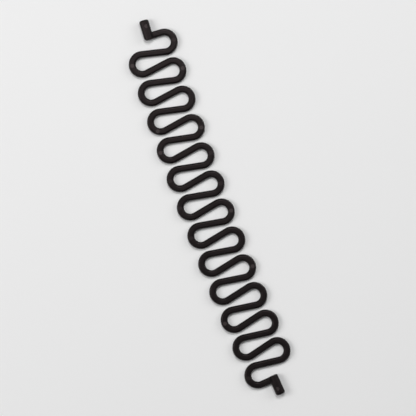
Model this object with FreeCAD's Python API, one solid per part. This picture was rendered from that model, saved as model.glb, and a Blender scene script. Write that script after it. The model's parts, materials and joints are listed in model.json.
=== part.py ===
"""Hair braiding tool: one moulded serpentine rod with a peg at each end.

The rod is split into half loops where the plastic flexes: at the crest of each bend, where it opens and
closes, and at the middle of each rung, where it twists. The tool lies flat on z = 0 with its crown end
towards +Y and its right bends towards +X.
"""
import FreeCAD, Part
import math
import os

Vector = FreeCAD.Vector

# Sizes are in millimetres.

# Loops
loops_per_side = 12
loop_pitch = 16.1
loop_gap = 1.8
tool_width = 29.2
bow_radius = 1530.0

# Rod: a round section with a flat on its top and a flat on its underside
rod_width = 3.7
rod_flat_depth = 0.3

# Pegs: round bars with a flat underside, flush with the rod's, and a heel that tapers past the stub
peg_diameter = 5.2
peg_length = 11.0
peg_flat_depth = 0.15
peg_heel_overhang = 0.15
peg_heel_taper = 0.1
peg_shoulder = 0.3
peg_tip_round = 1.2
crown_heel_round = 1.9
nape_heel_round = 1.0

# Where a stub is split between its end loop and its peg, as a share of the way from bend to midline
stub_split_share = 0.5

# Clearance between two halves that turn on each other
flex_gap = 0.05

# How far a cutting shape reaches past what it cuts
cut_overrun = 1.0

# Derived sizes
bend_count = 2 * loops_per_side
bend_radius = (loop_pitch - loop_gap - rod_width) / 2
bend_reach = (tool_width - rod_width) / 2 - bend_radius
rod_height = rod_width - 2 * rod_flat_depth
rod_middle = rod_height / 2
peg_radius = peg_diameter / 2
peg_middle = peg_radius - peg_flat_depth
peg_heel_length = peg_heel_overhang + rod_width + peg_shoulder
middle_rung = loops_per_side - 1

up = Vector(0, 0, 1)
quarter_turn = 90
full_turn = 360


class Bend:
    """One bend of the rod: its side, its place on the bowed midline and the middle of its arc."""

    def __init__(self, index):
        self.index = index
        self.side = 1 if index % 2 == 0 else -1
        station = ((bend_count - 1) / 2 - index) * loop_pitch / 2
        turn = station / bow_radius
        self.along = Vector(math.sin(turn), math.cos(turn), 0)
        self.across = Vector(math.cos(turn), -math.sin(turn), 0)
        self.midline = Vector(bow_radius, 0, 0) - self.across * bow_radius
        self.outward = self.across * self.side
        self.centre = self.midline + self.outward * bend_reach
        self.crest = self.centre + self.outward * bend_radius

    def name(self):
        """Return the loop's name, counted from the crown on its own side."""
        side_name = "right" if self.side > 0 else "left"
        return f"{side_name}_loop_{self.index // 2 + 1:02d}"


class Rung:
    """The straight run from one bend to the next, leaning back so that each loop narrows at its mouth."""

    def __init__(self, crown_bend, nape_bend):
        span = nape_bend.centre - crown_bend.centre
        lean = crown_bend.side * math.acos(2 * bend_radius / span.Length)
        toward_nape = turned(span, lean)
        toward_nape.normalize()
        self.start = crown_bend.centre + toward_nape * bend_radius
        self.end = nape_bend.centre - toward_nape * bend_radius
        self.middle = (self.start + self.end) / 2
        self.length = (self.end - self.start).Length
        self.direction = (self.end - self.start) / self.length


def turned(vector, angle):
    """Return a level vector turned about the vertical by an angle in radians."""
    return Vector(
        vector.x * math.cos(angle) - vector.y * math.sin(angle),
        vector.x * math.sin(angle) + vector.y * math.cos(angle),
        0,
    )


def angle_between(first, second):
    """Return the angle in degrees, anticlockwise from above, that turns one level vector to another."""
    cross = first.x * second.y - first.y * second.x
    return math.degrees(math.atan2(cross, first.dot(second)))


def rod_section(point, direction):
    """Return the rod's section as a face standing at a point, facing along a level direction."""
    flat_half = math.sqrt((rod_width**2 - rod_height**2) / 4)
    sideways = direction.cross(up)

    def corner(sideways_offset, height):
        return point + sideways * sideways_offset + up * height

    right_low = corner(flat_half, 0)
    right_wide = corner(rod_width / 2, rod_middle)
    right_high = corner(flat_half, rod_height)
    left_low = corner(-flat_half, 0)
    left_wide = corner(-rod_width / 2, rod_middle)
    left_high = corner(-flat_half, rod_height)
    edges = [
        Part.makeLine(left_low, right_low),
        Part.Arc(right_low, right_wide, right_high).toShape(),
        Part.makeLine(right_high, left_high),
        Part.Arc(left_high, left_wide, left_low).toShape(),
    ]
    return Part.Face(Part.Wire(edges))


def bend_disc(bend, clearance):
    """Return the upright cylinder on a crest about which the two halves of its loop turn."""
    return Part.makeCylinder(rod_width / 2 + clearance, rod_height, bend.crest, up, full_turn)


def single_solid(shape):
    """Return the one solid that a fused or cut shape holds, with its flush faces joined."""
    solid, = shape.removeSplitter().Solids
    return solid


def half_loop(bend, start, direction, leg_length, is_crown_half):
    """Return one half of a loop: a straight leg that leaves the bend at start, and its part of the arc.

    The crown half ends in a round nose at the crest, and the nape half in the socket that turns on it.
    """
    section = rod_section(start, direction)
    leg = section.extrude(direction * leg_length)
    sweep = angle_between(start - bend.centre, bend.outward)
    arc = section.revolve(bend.centre, up, sweep)
    half = leg.fuse(arc)
    if is_crown_half:
        crest_face = rod_section(bend.crest, bend.outward.cross(up))
        nose_turn = math.copysign(quarter_turn, sweep)
        nose = crest_face.revolve(bend.centre, up, nose_turn).common(bend_disc(bend, 0))
        half = half.fuse(nose)
    else:
        half = half.cut(bend_disc(bend, flex_gap))
    return single_solid(half)


def stub_start(bend, toward_end):
    """Return where the stub of an end bend leaves the arc, square to the tool."""
    return bend.centre + toward_end * bend_radius


def heel_corner(heel, bend, toward_end, heel_round):
    """Return what is cut from a peg to round the free corner of its heel, as seen from above."""

    def corner(side_offset, end_offset):
        return heel + bend.outward * (side_offset - peg_radius) + toward_end * end_offset - up * cut_overrun

    arc_share = 1 - math.sqrt(0.5)
    on_side = corner(0, heel_round)
    on_arc = corner(heel_round * arc_share, heel_round * arc_share)
    on_heel = corner(heel_round, 0)
    past_heel = corner(heel_round, -cut_overrun)
    past_both = corner(-cut_overrun, -cut_overrun)
    past_side = corner(-cut_overrun, heel_round)
    outline = Part.Wire([
        Part.Arc(on_side, on_arc, on_heel).toShape(),
        Part.makeLine(on_heel, past_heel),
        Part.makeLine(past_heel, past_both),
        Part.makeLine(past_both, past_side),
        Part.makeLine(past_side, on_side),
    ])
    return Part.Face(outline).extrude(up * (peg_diameter + 2 * cut_overrun))


def peg(bend, toward_end, heel_round):
    """Return an end peg and its part of the stub, whose heel stands just past the stub's inner side."""
    elbow = bend.midline + toward_end * bend_radius
    heel = elbow - toward_end * (rod_width / 2 + peg_heel_overhang)
    heel_axis = heel + up * peg_middle
    shoulder = heel_axis + toward_end * peg_heel_length
    taper = Part.makeCone(peg_radius - peg_heel_taper, peg_radius, peg_heel_length, heel_axis, toward_end)
    bar = Part.makeCylinder(peg_radius, peg_length - peg_heel_length, shoulder, toward_end, full_turn)
    tip_edge = max(bar.Edges, key=lambda edge: edge.CenterOfMass.dot(toward_end))
    bar = bar.makeFillet(peg_tip_round, [tip_edge]).fuse(taper)
    bar = bar.cut(heel_corner(heel, bend, toward_end, heel_round))
    below = Part.makeCylinder(peg_length + peg_diameter, peg_diameter, heel, -up, full_turn)
    bar = bar.cut(below)
    split = elbow + bend.outward * (bend_reach * (1 - stub_split_share))
    stub = rod_section(split, -bend.outward).extrude(elbow - split)
    return single_solid(bar.fuse(stub))


def tool_pieces():
    """Return every piece of the tool by name, in the tool's own frame."""
    bends = [Bend(index) for index in range(bend_count)]
    rungs = [Rung(crown_bend, nape_bend) for crown_bend, nape_bend in zip(bends, bends[1:])]
    first, last = bends[0], bends[-1]
    stub_leg = bend_reach * stub_split_share
    pieces = {
        "crown_peg": peg(first, first.along, crown_heel_round),
        "nape_peg": peg(last, -last.along, nape_heel_round),
    }
    for bend in bends:
        if bend is first:
            start, direction, leg = stub_start(bend, bend.along), -bend.outward, stub_leg
        else:
            rung = rungs[bend.index - 1]
            start, direction, leg = rung.end, -rung.direction, rung_leg(rung, bend.index - 1)
        pieces[bend.name() + "_crown_half"] = half_loop(bend, start, direction, leg, True)
        if bend is last:
            start, direction, leg = stub_start(bend, -bend.along), -bend.outward, stub_leg
        else:
            rung = rungs[bend.index]
            start, direction, leg = rung.start, rung.direction, rung_leg(rung, bend.index)
        pieces[bend.name() + "_nape_half"] = half_loop(bend, start, direction, leg, False)
    return pieces


def rung_leg(rung, index):
    """Return the length of each half of a rung; only the middle rung does not twist and needs no gap."""
    gap = 0 if index == middle_rung else flex_gap
    return (rung.length - gap) / 2


def box_middle():
    """Return the point that the tool's frame is moved from, below the middle of its bounding box."""
    centres = [Bend(index).centre.x for index in range(bend_count)]
    return Vector((min(centres) + max(centres)) / 2, 0, 0)


def main():
    os.makedirs("parts", exist_ok=True)
    for name, shape in tool_pieces().items():
        shape.translate(-box_middle())
        shape.exportStep(f"parts/{name}.step")


if __name__ == "__main__":
    main()
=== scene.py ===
"""Looks of a hair braiding tool: one satin black moulding, a serpentine rod with a peg at each end.

The rod is made in runs that meet end to end: one round each bend and one along each rung.
One Geometry Nodes tree sweeps the rod's section along every run, and another presses the round marks
of the mould's ejector pins into the top. The skin of each peg is drawn over its bar and stub, so that
they flow into each other.
"""
import json
import math
import bmesh
import bpy
import numpy as np
from mathutils import Matrix, Vector


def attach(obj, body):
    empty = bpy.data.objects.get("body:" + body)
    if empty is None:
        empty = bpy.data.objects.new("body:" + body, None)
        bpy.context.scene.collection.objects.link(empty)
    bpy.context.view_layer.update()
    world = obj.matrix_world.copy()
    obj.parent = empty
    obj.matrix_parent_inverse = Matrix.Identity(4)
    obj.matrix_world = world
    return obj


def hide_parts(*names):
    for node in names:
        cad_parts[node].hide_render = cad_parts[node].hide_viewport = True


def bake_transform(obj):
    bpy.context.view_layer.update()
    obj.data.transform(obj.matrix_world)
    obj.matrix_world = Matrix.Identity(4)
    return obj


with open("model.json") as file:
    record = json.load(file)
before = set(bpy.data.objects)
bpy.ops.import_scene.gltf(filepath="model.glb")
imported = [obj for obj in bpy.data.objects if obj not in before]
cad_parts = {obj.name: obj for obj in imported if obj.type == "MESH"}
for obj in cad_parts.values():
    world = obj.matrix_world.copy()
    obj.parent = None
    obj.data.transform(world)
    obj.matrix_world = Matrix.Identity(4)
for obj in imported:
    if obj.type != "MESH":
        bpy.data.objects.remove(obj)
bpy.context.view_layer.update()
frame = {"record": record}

MM = 0.001

# Sizes of the tool, the same as those of its solids
loops_per_side = 12
loop_pitch = 16.1 * MM
loop_gap = 1.8 * MM
tool_width = 29.2 * MM
bow_radius = 1530.0 * MM
rod_width = 3.7 * MM
rod_flat_depth = 0.3 * MM
peg_diameter = 5.2 * MM
peg_length = 11.0 * MM
peg_flat_depth = 0.15 * MM
peg_heel_overhang = 0.15 * MM
peg_heel_taper = 0.1 * MM
peg_shoulder = 0.3 * MM
peg_tip_round = 1.2 * MM
crown_heel_round = 1.9 * MM
nape_heel_round = 1.0 * MM

# Sizes that follow from them
bend_count = 2 * loops_per_side
bend_radius = (loop_pitch - loop_gap - rod_width) / 2
bend_reach = (tool_width - rod_width) / 2 - bend_radius
rod_height = rod_width - 2 * rod_flat_depth
rod_middle = rod_height / 2
peg_radius = peg_diameter / 2
peg_middle = peg_radius - peg_flat_depth
peg_heel_length = peg_heel_overhang + rod_width + peg_shoulder
middle_rung = loops_per_side - 1

up = Vector((0, 0, 1))
quarter_turn = math.pi / 2

# Rod: its soft edges and parting ridge, how finely it is drawn, and how long the straight legs of a bend's
# run are
rod_edge_softness = 0.16 * MM
parting_ridge_height = 0.03 * MM
parting_ridge_width = 0.1 * MM
section_points = 72
section_crowding_share = 0.45
ring_spacing = 0.3 * MM
bend_leg = 1.0 * MM
sharp_angle = math.radians(35)

# Pegs: their rounded edges, how they flow into their stubs, and the grid that their skin is drawn on
peg_edge_round = 0.35 * MM
peg_fillet = 0.6 * MM
peg_stub_length = 5.0 * MM
peg_stub_sink = 0.02 * MM
peg_grid = 0.12 * MM
slope_step_share = 0.01
gentlest_slope = 0.5
surface_steps = 6

# Ejector pin marks: round, shallow and flat, with a wall that leans a little
mark_diameter = 2.1 * MM
mark_depth = 0.06 * MM
mark_wall_lean = 0.05 * MM
mark_points = 48
pin_reach = 1.0 * MM
peg_mark_depth = 0.2 * MM
peg_mark_along = 5.4 * MM
peg_mark_aside = 0.65 * MM

# How far along the rod, from a bend's crest towards the nape, its mark lies
clear_marks = {
    "left_loop_01": -0.7 * MM,
    "right_loop_02": 0.4 * MM,
    "left_loop_03": 5.2 * MM,
    "right_loop_04": 1.8 * MM,
    "left_loop_04": -0.4 * MM,
    "right_loop_07": 1.2 * MM,
    "right_loop_09": 1.2 * MM,
    "left_loop_10": 0.0 * MM,
}
faint_marks = {
    "right_loop_01": 0.4 * MM,
    "right_loop_05": 0.3 * MM,
    "left_loop_05": -0.6 * MM,
    "right_loop_06": 1.7 * MM,
    "left_loop_06": -1.3 * MM,
    "left_loop_07": -0.5 * MM,
    "left_loop_12": -0.6 * MM,
}

# Satin black plastic: a warm tint, a colour and gloss that drift, a fine grain,
# and edges that come out glossier
plastic_tint = (1.0, 0.81, 0.83)
plastic_levels = (0.003, 0.006)
plastic_roughness = 0.4
plastic_grain_height = 0.02 * MM
plastic_sheen_level = 0.21
gloss_drift = 0.05
drift_scale = 160.0
drift_detail = 3.0
drift_range_shares = (0.3, 0.7)
grain_scale = 3200.0
grain_detail = 2.0
edge_polish_width = 0.2 * MM
edge_polish_share = 0.2

# The faces that the ejector pins leave: smoother than the rest, and painted a lighter grey as painted
# sheen, for the light that their smoother finish catches
clear_mark_painted_sheen_levels = (0.036, 0.046)
clear_mark_roughness = 0.36
faint_mark_painted_sheen_levels = (0.015, 0.02)
faint_mark_roughness = 0.4
mark_grain_height = 0.005 * MM

# Camera, in metres but for its sensor, which is in millimetres: how the tool is turned in the picture,
# and how wide a stretch the picture takes in at the level of the rod's top
picture_turn = math.radians(20.24)
picture_width = 222.88 * MM
picture_middle = Vector((0, 0.4 * MM, 0))
camera_height = 1.4
sensor_width = 36.0

# Studio, in metres: the floor, the light all round, and the lamps by their places to the picture's right,
# up and overhead
floor_size = 8.0
floor_level = 0.9
floor_roughness = 0.9
floor_sheen_level = 0.1
room_colour = (1, 1, 1, 1)
room_light = 0.15
studio_lamps = {
    "overhead_softbox": {"place": (0.0, 0.56, 1.15), "side": 0.4, "watts": 6.8},
    "left_panel": {"place": (-1.0, 0.0, 0.98), "side": 0.7, "watts": 8.0},
    "right_panel": {"place": (1.0, 0.57, 0.8), "side": 0.7, "watts": 4.0},
}


class Bend:
    """One bend of the rod: its side, its place on the bowed midline and the middle of its arc."""

    def __init__(self, index):
        self.index = index
        self.side = 1 if index % 2 == 0 else -1
        station = ((bend_count - 1) / 2 - index) * loop_pitch / 2
        turn = station / bow_radius
        self.along = Vector((math.sin(turn), math.cos(turn), 0))
        across = Vector((math.cos(turn), -math.sin(turn), 0))
        self.midline = Vector((bow_radius, 0, 0)) - across * bow_radius
        self.outward = across * self.side
        self.centre = self.midline + self.outward * bend_reach
        self.crest = self.centre + self.outward * bend_radius
        side_name = "right" if self.side > 0 else "left"
        self.name = f"{side_name}_loop_{index // 2 + 1:02d}"
        self.crown_half = self.name + "_crown_half"
        self.nape_half = self.name + "_nape_half"

    def move(self, offset):
        """Move the bend, with its place on the midline."""
        self.midline = self.midline + offset
        self.centre = self.centre + offset
        self.crest = self.crest + offset

    def turn_to(self, tangent_point):
        """Return the angle of the arc from the crest to where it meets a straight run."""
        return self.outward.angle(tangent_point - self.centre)

    def on_arc(self, offset):
        """Return the place on the floor below the centreline, this far from the crest towards the nape."""
        angle = offset / bend_radius
        return self.centre + (self.outward * math.cos(angle) - self.along * math.sin(angle)) * bend_radius


class Rung:
    """The straight run from one bend to the next, leaning back so that each loop narrows at its mouth."""

    def __init__(self, crown_bend, nape_bend):
        self.index = crown_bend.index
        self.name = f"rung_{self.index + 1:02d}"
        self.crown_node = crown_bend.nape_half
        self.nape_node = nape_bend.crown_half
        span = nape_bend.centre - crown_bend.centre
        lean = crown_bend.side * math.acos(2 * bend_radius / span.length)
        toward_nape = Matrix.Rotation(lean, 3, "Z") @ span.normalized()
        self.start = crown_bend.centre + toward_nape * bend_radius
        self.end = nape_bend.centre - toward_nape * bend_radius
        self.middle = (self.start + self.end) / 2
        self.length = (self.end - self.start).length
        self.direction = (self.end - self.start) / self.length


class Tree:
    """A Geometry Nodes tree in the making, with named inputs for its sizes."""

    def __init__(self, name):
        self.group = bpy.data.node_groups.new(name, "GeometryNodeTree")
        self.group.interface.new_socket("Geometry", in_out="OUTPUT", socket_type="NodeSocketGeometry")
        self.entry = self.group.nodes.new("NodeGroupInput")

    def input(self, name, kind="NodeSocketFloat"):
        """Add a named input to the tree and return its socket."""
        self.group.interface.new_socket(name, in_out="INPUT", socket_type=kind)
        return self.entry.outputs[name]

    def node(self, kind, inputs, **settings):
        """Add a node and return its first output that is in use."""
        outputs = add_node(self.group, kind, inputs, **settings).outputs
        return next(output for output in outputs if output.enabled)

    def math(self, operation, *values):
        """Add a math node on these numbers and return its result."""
        return self.node("ShaderNodeMath", dict(enumerate(values)), operation=operation)

    def scaled(self, vector, factor):
        """Return a vector times a number."""
        return self.node("ShaderNodeVectorMath", {0: vector, "Scale": factor}, operation="SCALE")

    def total(self, first, *others):
        """Return the sum of vectors."""
        for other in others:
            first = self.node("ShaderNodeVectorMath", {0: first, 1: other}, operation="ADD")
        return first

    def shaded(self, mesh):
        """Shade a mesh smooth, apart from its sharp edges."""
        smooth = self.node("GeometryNodeSetShadeSmooth", {"Geometry": mesh, "Shade Smooth": True})
        angles = {0: self.node("GeometryNodeInputMeshEdgeAngle", {}), 1: sharp_angle}
        is_sharp = self.node("FunctionNodeCompare", angles, operation="GREATER_THAN")
        rims = {"Geometry": smooth, "Selection": is_sharp, "Shade Smooth": False}
        return self.node("GeometryNodeSetShadeSmooth", rims, domain="EDGE")

    def finish(self, mesh, material, selection=True):
        """Realize what the tree made, give the selected faces their material and return the whole tree."""
        realized = self.node("GeometryNodeRealizeInstances", {"Geometry": self.shaded(mesh)})
        faces = {"Geometry": realized, "Selection": selection, "Material": material}
        finished = self.node("GeometryNodeSetMaterial", faces)
        add_node(self.group, "NodeGroupOutput", {"Geometry": finished})
        return self.group


def add_node(tree, kind, inputs, **settings):
    """Add a node to a tree, with its settings, and its inputs linked from sockets or set to values."""
    node = tree.nodes.new(kind)
    for name, value in settings.items():
        setattr(node, name, value)
    for key, value in inputs.items():
        if isinstance(value, bpy.types.NodeSocket):
            tree.links.new(value, node.inputs[key])
        else:
            node.inputs[key].default_value = value
    return node


def rod_run_tree():
    """Return the tree that sweeps the rod's section round one bend and along its straight legs."""
    tree = Tree("rod_run")
    crest = tree.input("Crest", "NodeSocketVector")
    outward = tree.input("Outward", "NodeSocketVector")
    toward_nape = tree.input("Toward Nape", "NodeSocketVector")
    radius = tree.input("Bend Radius")
    crown_turn = tree.input("Crown Turn")
    nape_turn = tree.input("Nape Turn")
    crown_leg = tree.input("Crown Leg")
    nape_leg = tree.input("Nape Leg")
    width = tree.input("Rod Width")
    flat_depth = tree.input("Flat Depth")
    softness = tree.input("Edge Softness")
    polish_width = tree.input("Edge Polish Width")
    ridge_height = tree.input("Ridge Height")
    ridge_width = tree.input("Ridge Width")
    spacing = tree.input("Ring Spacing")
    material = tree.input("Material", "NodeSocketMaterial")

    # The centreline: the way along it from the crest, the part of that on the arc, and the rest on a leg
    crown_arc = tree.math("MULTIPLY", radius, crown_turn)
    nape_arc = tree.math("MULTIPLY", radius, nape_turn)
    before_crest = tree.math("ADD", crown_leg, crown_arc)
    length = tree.math("ADD", before_crest, tree.math("ADD", nape_arc, nape_leg))
    rings = tree.math("ADD", tree.math("CEIL", tree.math("DIVIDE", length, spacing)), 1)
    run_share = tree.node("GeometryNodeSplineParameter", {})
    way = tree.math("SUBTRACT", tree.math("MULTIPLY", run_share, length), before_crest)
    arc_start = tree.math("MULTIPLY", crown_arc, -1)
    on_arc = tree.math("MINIMUM", tree.math("MAXIMUM", way, arc_start), nape_arc)
    on_leg = tree.math("SUBTRACT", way, on_arc)
    angle = tree.math("DIVIDE", on_arc, radius)
    cosine = tree.math("COSINE", angle)
    sine = tree.math("SINE", angle)
    arc_out = tree.math("MULTIPLY", radius, tree.math("SUBTRACT", cosine, 1))
    far_out = tree.math("SUBTRACT", arc_out, tree.math("MULTIPLY", on_leg, sine))
    far_on = tree.math("ADD", tree.math("MULTIPLY", radius, sine), tree.math("MULTIPLY", on_leg, cosine))
    place = tree.total(crest, tree.scaled(outward, far_out), tree.scaled(toward_nape, far_on))
    line = tree.node("GeometryNodeCurvePrimitiveLine", {})
    line = tree.node("GeometryNodeResampleCurve", {"Curve": line, "Count": rings})
    line = tree.node("GeometryNodeSetPosition", {"Geometry": line, "Position": place})
    line = tree.node("GeometryNodeSetCurveNormal", {"Curve": line}, mode="Z_UP")

    # The section: a round with a soft-edged flat on its top and underside, and the mould's parting ridge.
    # Its points crowd towards the ridge.
    section_radius = tree.math("DIVIDE", width, 2)
    flat = tree.math("SUBTRACT", section_radius, flat_depth)
    around = tree.math("MULTIPLY", tree.node("GeometryNodeSplineParameter", {}), math.tau)
    crowding = tree.math("SINE", tree.math("MULTIPLY", around, 2))
    around = tree.math("SUBTRACT", around, tree.math("MULTIPLY", crowding, section_crowding_share / 2))
    side = tree.math("MULTIPLY", section_radius, tree.math("COSINE", around))
    round_height = tree.math("MULTIPLY", section_radius, tree.math("SINE", around))
    height = tree.math("SMOOTH_MIN", round_height, flat, softness)
    height = tree.math("SMOOTH_MAX", height, tree.math("MULTIPLY", flat, -1), softness)
    fall_share = tree.math("DIVIDE", tree.math("ABSOLUTE", height), ridge_width)
    ridge_share = tree.math("MAXIMUM", tree.math("SUBTRACT", 1, fall_share), 0)
    ridge = tree.math("MULTIPLY", ridge_share, ridge_height)
    side = tree.math("ADD", side, tree.math("MULTIPLY", tree.math("SIGN", side), ridge))
    outline = tree.node("ShaderNodeCombineXYZ", {"X": side, "Y": height})
    from_edge = tree.math("ABSOLUTE", tree.math("SUBTRACT", tree.math("ABSOLUTE", round_height), flat))
    dull_share = tree.math("DIVIDE", from_edge, polish_width)
    polish = tree.math("MAXIMUM", tree.math("SUBTRACT", 1, dull_share), 0)
    section = tree.node("GeometryNodeCurvePrimitiveCircle", {"Resolution": section_points})
    polished = {"Geometry": section, "Name": "edge_polish", "Value": polish}
    section = tree.node("GeometryNodeStoreNamedAttribute", polished, data_type="FLOAT", domain="POINT")
    section = tree.node("GeometryNodeSetPosition", {"Geometry": section, "Position": outline})

    sweep = {"Curve": line, "Profile Curve": section, "Fill Caps": True}
    return tree.finish(tree.node("GeometryNodeCurveToMesh", sweep), material)


def pressed_mark_tree():
    """Return the tree that presses one round ejector mark into the top of a piece."""
    tree = Tree("pressed_mark")
    piece = tree.input("Geometry", "NodeSocketGeometry")
    place = tree.input("Place", "NodeSocketVector")
    diameter = tree.input("Diameter")
    wall_lean = tree.input("Wall Lean")
    reach = tree.input("Pin Reach")
    material = tree.input("Material", "NodeSocketMaterial")

    foot = tree.math("DIVIDE", diameter, 2)
    mouth = tree.math("ADD", foot, wall_lean)
    cone = {"Vertices": mark_points, "Radius Top": mouth, "Radius Bottom": foot, "Depth": reach}
    pin = tree.node("GeometryNodeMeshCone", cone)
    pin = tree.node("GeometryNodeTransform", {"Geometry": pin, "Translation": place})
    pressed = {"Geometry": pin, "Name": "pressed", "Value": True}
    pin = tree.node("GeometryNodeStoreNamedAttribute", pressed, data_type="BOOLEAN", domain="FACE")
    cut = tree.node("GeometryNodeMeshBoolean", {0: piece, 1: pin}, operation="DIFFERENCE", solver="EXACT")
    is_pressed = tree.node("GeometryNodeInputNamedAttribute", {"Name": "pressed"}, data_type="BOOLEAN")
    # The pressed faces take the mark's material, whose lighter grey is painted sheen
    return tree.finish(cut, material, is_pressed)


def tinted(level):
    """Return a grey level as the plastic's own colour."""
    return tuple(level * channel for channel in plastic_tint) + (1,)


def plastic_material(name, levels, roughness, grain_height):
    """Return a moulded plastic: a fine grain, a gloss and depth of black that drift, and polished edges."""
    material = bpy.data.materials.new(name)
    material.use_nodes = True
    tree = material.node_tree
    shader = tree.nodes["Principled BSDF"]
    coordinates = add_node(tree, "ShaderNodeTexCoord", {}).outputs["Object"]

    def noise(scale, detail):
        """Return a noise that runs through the whole tool."""
        field = {"Vector": coordinates, "Scale": scale, "Detail": detail}
        return add_node(tree, "ShaderNodeTexNoise", field).outputs[0]

    drift = noise(drift_scale, drift_detail)
    grain = noise(grain_scale, grain_detail)
    colours = add_node(tree, "ShaderNodeMix", {"Factor": drift}, data_type="RGBA")
    colours.inputs["A"].default_value = tinted(levels[0])
    colours.inputs["B"].default_value = tinted(levels[1])
    low_share, high_share = drift_range_shares
    drifting = {
        "Value": drift,
        "From Min": low_share,
        "From Max": high_share,
        "To Min": roughness - gloss_drift,
        "To Max": roughness + gloss_drift,
    }
    drifted_roughness = add_node(tree, "ShaderNodeMapRange", drifting).outputs[0]
    edge = add_node(tree, "ShaderNodeAttribute", {}, attribute_name="edge_polish").outputs["Fac"]
    smoothing = {0: edge, 1: -edge_polish_share, 2: 1}
    kept_share = add_node(tree, "ShaderNodeMath", smoothing, operation="MULTIPLY_ADD").outputs[0]
    factors = {0: drifted_roughness, 1: kept_share}
    polished_roughness = add_node(tree, "ShaderNodeMath", factors, operation="MULTIPLY").outputs[0]
    bump = add_node(tree, "ShaderNodeBump", {"Height": grain, "Distance": grain_height}).outputs[0]
    shader.inputs["Specular IOR Level"].default_value = plastic_sheen_level
    shader.inputs["Specular Tint"].default_value = tinted(1)
    tree.links.new(colours.outputs["Result"], shader.inputs["Base Color"])
    tree.links.new(polished_roughness, shader.inputs["Roughness"])
    tree.links.new(bump, shader.inputs["Normal"])
    return material


def evaluated_mesh(source):
    """Return a plain mesh of an object with its modifiers applied, and remove the object."""
    evaluated = source.evaluated_get(bpy.context.evaluated_depsgraph_get())
    mesh = bpy.data.meshes.new_from_object(evaluated)
    bpy.data.objects.remove(source)
    return mesh


def placed(name, data):
    """Return a new object in the scene that holds a mesh, lamp or camera."""
    new_object = bpy.data.objects.new(name, data)
    bpy.context.scene.collection.objects.link(new_object)
    return new_object


def moulded(name, mesh, steps):
    """Return a plain mesh object, made by running a mesh through trees with their inputs set."""
    source = placed(name + "_source", mesh)
    for tree, values in steps:
        modifier = source.modifiers.new(tree.name, "NODES")
        modifier.node_group = tree
        for item in tree.interface.items_tree:
            if item.in_out == "INPUT" and item.name in values:
                modifier[item.identifier] = values[item.name]
    return placed(name, evaluated_mesh(source))


def run_sizes(crest, outward, toward_nape, turns, legs):
    """Return the inputs of the rod run tree for one run, with its turns and legs to the crown and nape."""
    return {
        "Crest": crest + up * rod_middle,
        "Outward": outward,
        "Toward Nape": toward_nape,
        "Bend Radius": bend_radius,
        "Crown Turn": turns[0],
        "Nape Turn": turns[1],
        "Crown Leg": legs[0],
        "Nape Leg": legs[1],
        "Rod Width": rod_width,
        "Flat Depth": rod_flat_depth,
        "Edge Softness": rod_edge_softness,
        "Edge Polish Width": edge_polish_width,
        "Ridge Height": parting_ridge_height,
        "Ridge Width": parting_ridge_width,
        "Ring Spacing": ring_spacing,
        "Material": plastic,
    }


def mark_sizes(place, face):
    """Return the inputs of the pressed mark tree for one mark."""
    return {
        "Place": place,
        "Diameter": mark_diameter,
        "Wall Lean": mark_wall_lean,
        "Pin Reach": pin_reach,
        "Material": face,
    }


def make_bend(bend):
    """Make the run of rod round one bend, with its ejector mark if it has one."""
    crown_turn, crown_leg = quarter_turn, bend_reach
    nape_turn, nape_leg = quarter_turn, bend_reach
    if bend is not bends[0]:
        crown_turn, crown_leg = bend.turn_to(rungs[bend.index - 1].end), bend_leg
    if bend is not bends[-1]:
        nape_turn, nape_leg = bend.turn_to(rungs[bend.index].start), bend_leg
    turns = (crown_turn, nape_turn)
    legs = (crown_leg, nape_leg)
    steps = [(rod_run, run_sizes(bend.crest, bend.outward, -bend.along, turns, legs))]
    # A mark's face is painted a lighter grey as painted sheen; its recess and smoother finish are real
    for marks, face in ((clear_marks, clear_mark_painted_sheen_face), (faint_marks, faint_mark_painted_sheen_face)):
        if bend.name in marks:
            mark_place = bend.on_arc(marks[bend.name]) + up * (rod_height - mark_depth)
            steps.append((pressed_mark, mark_sizes(mark_place, face)))
    piece = moulded(bend.name + "_bend", bpy.data.meshes.new(bend.name), steps)
    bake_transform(piece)
    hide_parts(bend.crown_half, bend.nape_half)


def make_rung(rung):
    """Make the straight run of rod between two bends; the middle one is attached to its body."""
    half = rung.length / 2 - bend_leg
    sideways = up.cross(rung.direction)
    sizes = run_sizes(rung.middle, sideways, rung.direction, (0.0, 0.0), (half, half))
    piece = moulded(rung.name, bpy.data.meshes.new(rung.name), [(rod_run, sizes)])
    if rung.index == middle_rung:
        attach(piece, body_of[rung.crown_node])
    else:
        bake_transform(piece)


def soft_max(first, second, softness):
    """Return the larger of two distances, with the corner between them rounded over a softness."""
    near = np.maximum(softness - np.abs(first - second), 0)
    return np.maximum(first, second) + near**2 / (4 * softness)


def rounded_end(beyond_side, beyond_end, rounding):
    """Return the distance outside a bar's end whose rim is rounded."""
    side = beyond_side + rounding
    end = beyond_end + rounding
    within = np.minimum(np.maximum(side, end), 0)
    outside = np.hypot(np.maximum(side, 0), np.maximum(end, 0))
    return within + outside - rounding


def beyond_peg(points, heel_round):
    """Return how far points are outside a peg that flows into its stub.

    Points are measured from the foot of the heel: along the peg, towards the stub and up.
    """
    along, aside, height = points.T
    taper = peg_heel_taper * np.clip(1 - along / peg_heel_length, 0, 1)
    beyond_wall = np.hypot(aside, height - peg_middle) - (peg_radius - taper)
    bar = rounded_end(beyond_wall, along - peg_length, peg_tip_round)
    stub_along = along - peg_heel_overhang - rod_width / 2
    beyond_round = np.hypot(stub_along, height - rod_middle) - rod_width / 2
    stub = soft_max(beyond_round, height - rod_height, rod_edge_softness) + peg_stub_sink
    stub = np.maximum(np.maximum(stub, aside - peg_stub_length), -aside)
    skin = -soft_max(-bar, -stub, peg_fillet)
    skin = soft_max(skin, rounded_end(-aside - peg_radius, -along, heel_round), peg_edge_round)
    return soft_max(skin, -height, rod_edge_softness)


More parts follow.
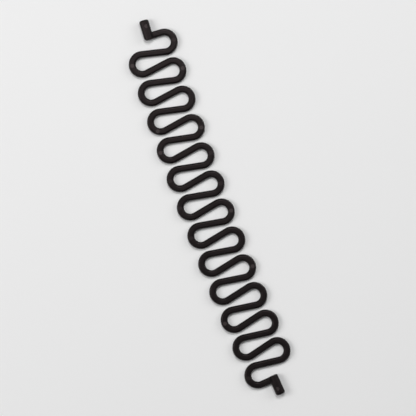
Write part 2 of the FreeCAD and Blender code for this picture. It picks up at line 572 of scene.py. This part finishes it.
def onto_surface(points, heel_round):
    """Return points moved one step along the slope of the peg's distance, towards its surface."""
    step = peg_grid * slope_step_share
    distance = beyond_peg(points, heel_round)
    slope = np.empty_like(points)
    for axis in range(3):
        moved = points.copy()
        moved[:, axis] += step
        slope[:, axis] = (beyond_peg(moved, heel_round) - distance) / step
    steepness = np.maximum((slope**2).sum(axis=1), gentlest_slope**2)
    return points - slope * (distance / steepness)[:, None]


def rough_peg(name):
    """Return an evenly gridded mesh of a peg's bar and stub, measured from the foot of its heel."""
    builder = bmesh.new()
    bar_middle = (peg_length / 2, 0, peg_middle)
    bar_place = Matrix.Translation(bar_middle) @ Matrix.Rotation(quarter_turn, 4, "Y")
    stub_middle = (peg_heel_overhang + rod_width / 2, peg_stub_length / 2, rod_middle)
    stub_place = Matrix.Translation(stub_middle) @ Matrix.Rotation(-quarter_turn, 4, "X")
    bar = (peg_radius, peg_length, bar_place)
    stub = (rod_middle, peg_stub_length, stub_place)
    for radius, length, place in (bar, stub):
        sizes = {"radius1": radius, "radius2": radius, "depth": length, "matrix": place}
        bmesh.ops.create_cone(builder, cap_ends=True, segments=section_points, **sizes)
    bars = bpy.data.meshes.new(name + "_bars")
    builder.to_mesh(bars)
    builder.free()
    source = placed(name + "_bars", bars)
    grid = source.modifiers.new("grid", "REMESH")
    grid.mode = "VOXEL"
    grid.voxel_size = peg_grid
    grid.use_smooth_shade = True
    return evaluated_mesh(source)


def turn_faces_out(mesh):
    """Turn the faces of a closed mesh outwards."""
    builder = bmesh.new()
    builder.from_mesh(mesh)
    bmesh.ops.recalc_face_normals(builder, faces=builder.faces)
    builder.to_mesh(mesh)
    builder.free()


def make_peg(name, bend, toward_end, heel_round):
    """Make one peg with the root of its stub, and press the ejector mark into its top."""
    skin = rough_peg(name)
    points = np.empty(len(skin.vertices) * 3)
    skin.vertices.foreach_get("co", points)
    points = points.reshape(-1, 3)
    for _ in range(surface_steps):
        points = onto_surface(points, heel_round)
    skin.vertices.foreach_set("co", points.ravel())
    heel = bend.midline + toward_end * (bend_radius - rod_width / 2 - peg_heel_overhang)
    turn = Matrix((toward_end, bend.outward, up)).transposed().to_4x4()
    skin.transform(Matrix.Translation(heel) @ turn)
    turn_faces_out(skin)
    skin.materials.append(plastic)
    mark_along = peg_heel_overhang + rod_width / 2 + peg_mark_along
    mark_height = peg_middle + math.sqrt(peg_radius**2 - peg_mark_aside**2) - peg_mark_depth
    mark_place = heel + toward_end * mark_along + bend.outward * peg_mark_aside + up * mark_height
    # The peg's mark face is painted a lighter grey as painted sheen
    piece = moulded(name + "_skin", skin, [(pressed_mark, mark_sizes(mark_place, clear_mark_painted_sheen_face))])
    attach(piece, body_of[name])
    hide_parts(name)


def make_floor():
    """Make the plain pale floor that the tool lies on."""
    mesh = bpy.data.meshes.new("floor")
    builder = bmesh.new()
    bmesh.ops.create_grid(builder, x_segments=1, y_segments=1, size=floor_size / 2)
    builder.to_mesh(mesh)
    builder.free()
    material = bpy.data.materials.new("pale_floor")
    material.use_nodes = True
    shader = material.node_tree.nodes["Principled BSDF"]
    shader.inputs["Base Color"].default_value = (floor_level, floor_level, floor_level, 1)
    shader.inputs["Roughness"].default_value = floor_roughness
    shader.inputs["Specular IOR Level"].default_value = floor_sheen_level
    mesh.materials.append(material)
    placed("floor", mesh)


def light_studio():
    """Place the soft lamps, each turned to the tool, and the light all round."""
    for name, settings in studio_lamps.items():
        lamp = bpy.data.lights.new(name, "AREA")
        lamp.size = settings["side"]
        lamp.energy = settings["watts"]
        place = picture_axes @ Vector(settings["place"])
        turn = (-place).to_track_quat("-Z", "Y").to_matrix().to_4x4()
        placed(name, lamp).matrix_world = Matrix.Translation(place) @ turn
    world = bpy.data.worlds.new("studio")
    world.use_nodes = True
    background = world.node_tree.nodes["Background"]
    background.inputs["Color"].default_value = room_colour
    background.inputs["Strength"].default_value = room_light
    bpy.context.scene.world = world


def aim_camera():
    """Look straight down on the tool, turned as the picture has it."""
    lens = bpy.data.cameras.new("camera")
    lens.sensor_width = sensor_width
    lens.lens = sensor_width * (camera_height - rod_height) / picture_width
    camera = placed("camera", lens)
    camera.matrix_world = Matrix.Translation(picture_middle + up * camera_height) @ picture_axes.to_4x4()
    bpy.context.scene.camera = camera
    bpy.context.scene.view_settings.view_transform = "Standard"


bends = [Bend(index) for index in range(bend_count)]
centre_sides = [bend.centre.x for bend in bends]
for bend in bends:
    bend.move(Vector((-(min(centre_sides) + max(centre_sides)) / 2, 0, 0)))
rungs = [Rung(crown_bend, nape_bend) for crown_bend, nape_bend in zip(bends, bends[1:])]
body_of = {node: body for body, nodes in frame["record"]["behaviour"]["bodies"].items() for node in nodes}

plastic = plastic_material("black_plastic", plastic_levels, plastic_roughness, plastic_grain_height)
# Mark faces: real smoother finish, with a lighter grey painted on as painted sheen
clear_mark_painted_sheen_face = plastic_material(
    "clear_mark_painted_sheen_face", clear_mark_painted_sheen_levels, clear_mark_roughness, mark_grain_height
)
faint_mark_painted_sheen_face = plastic_material(
    "faint_mark_painted_sheen_face", faint_mark_painted_sheen_levels, faint_mark_roughness, mark_grain_height
)
rod_run = rod_run_tree()
pressed_mark = pressed_mark_tree()
for bend in bends:
    make_bend(bend)
for rung in rungs:
    make_rung(rung)
make_peg("crown_peg", bends[0], bends[0].along, crown_heel_round)
make_peg("nape_peg", bends[-1], -bends[-1].along, nape_heel_round)

# The picture's own right, up and overhead directions, in the tool's frame
picture_axes = Matrix.Rotation(-picture_turn, 3, "Z")
make_floor()
light_studio()
aim_camera()
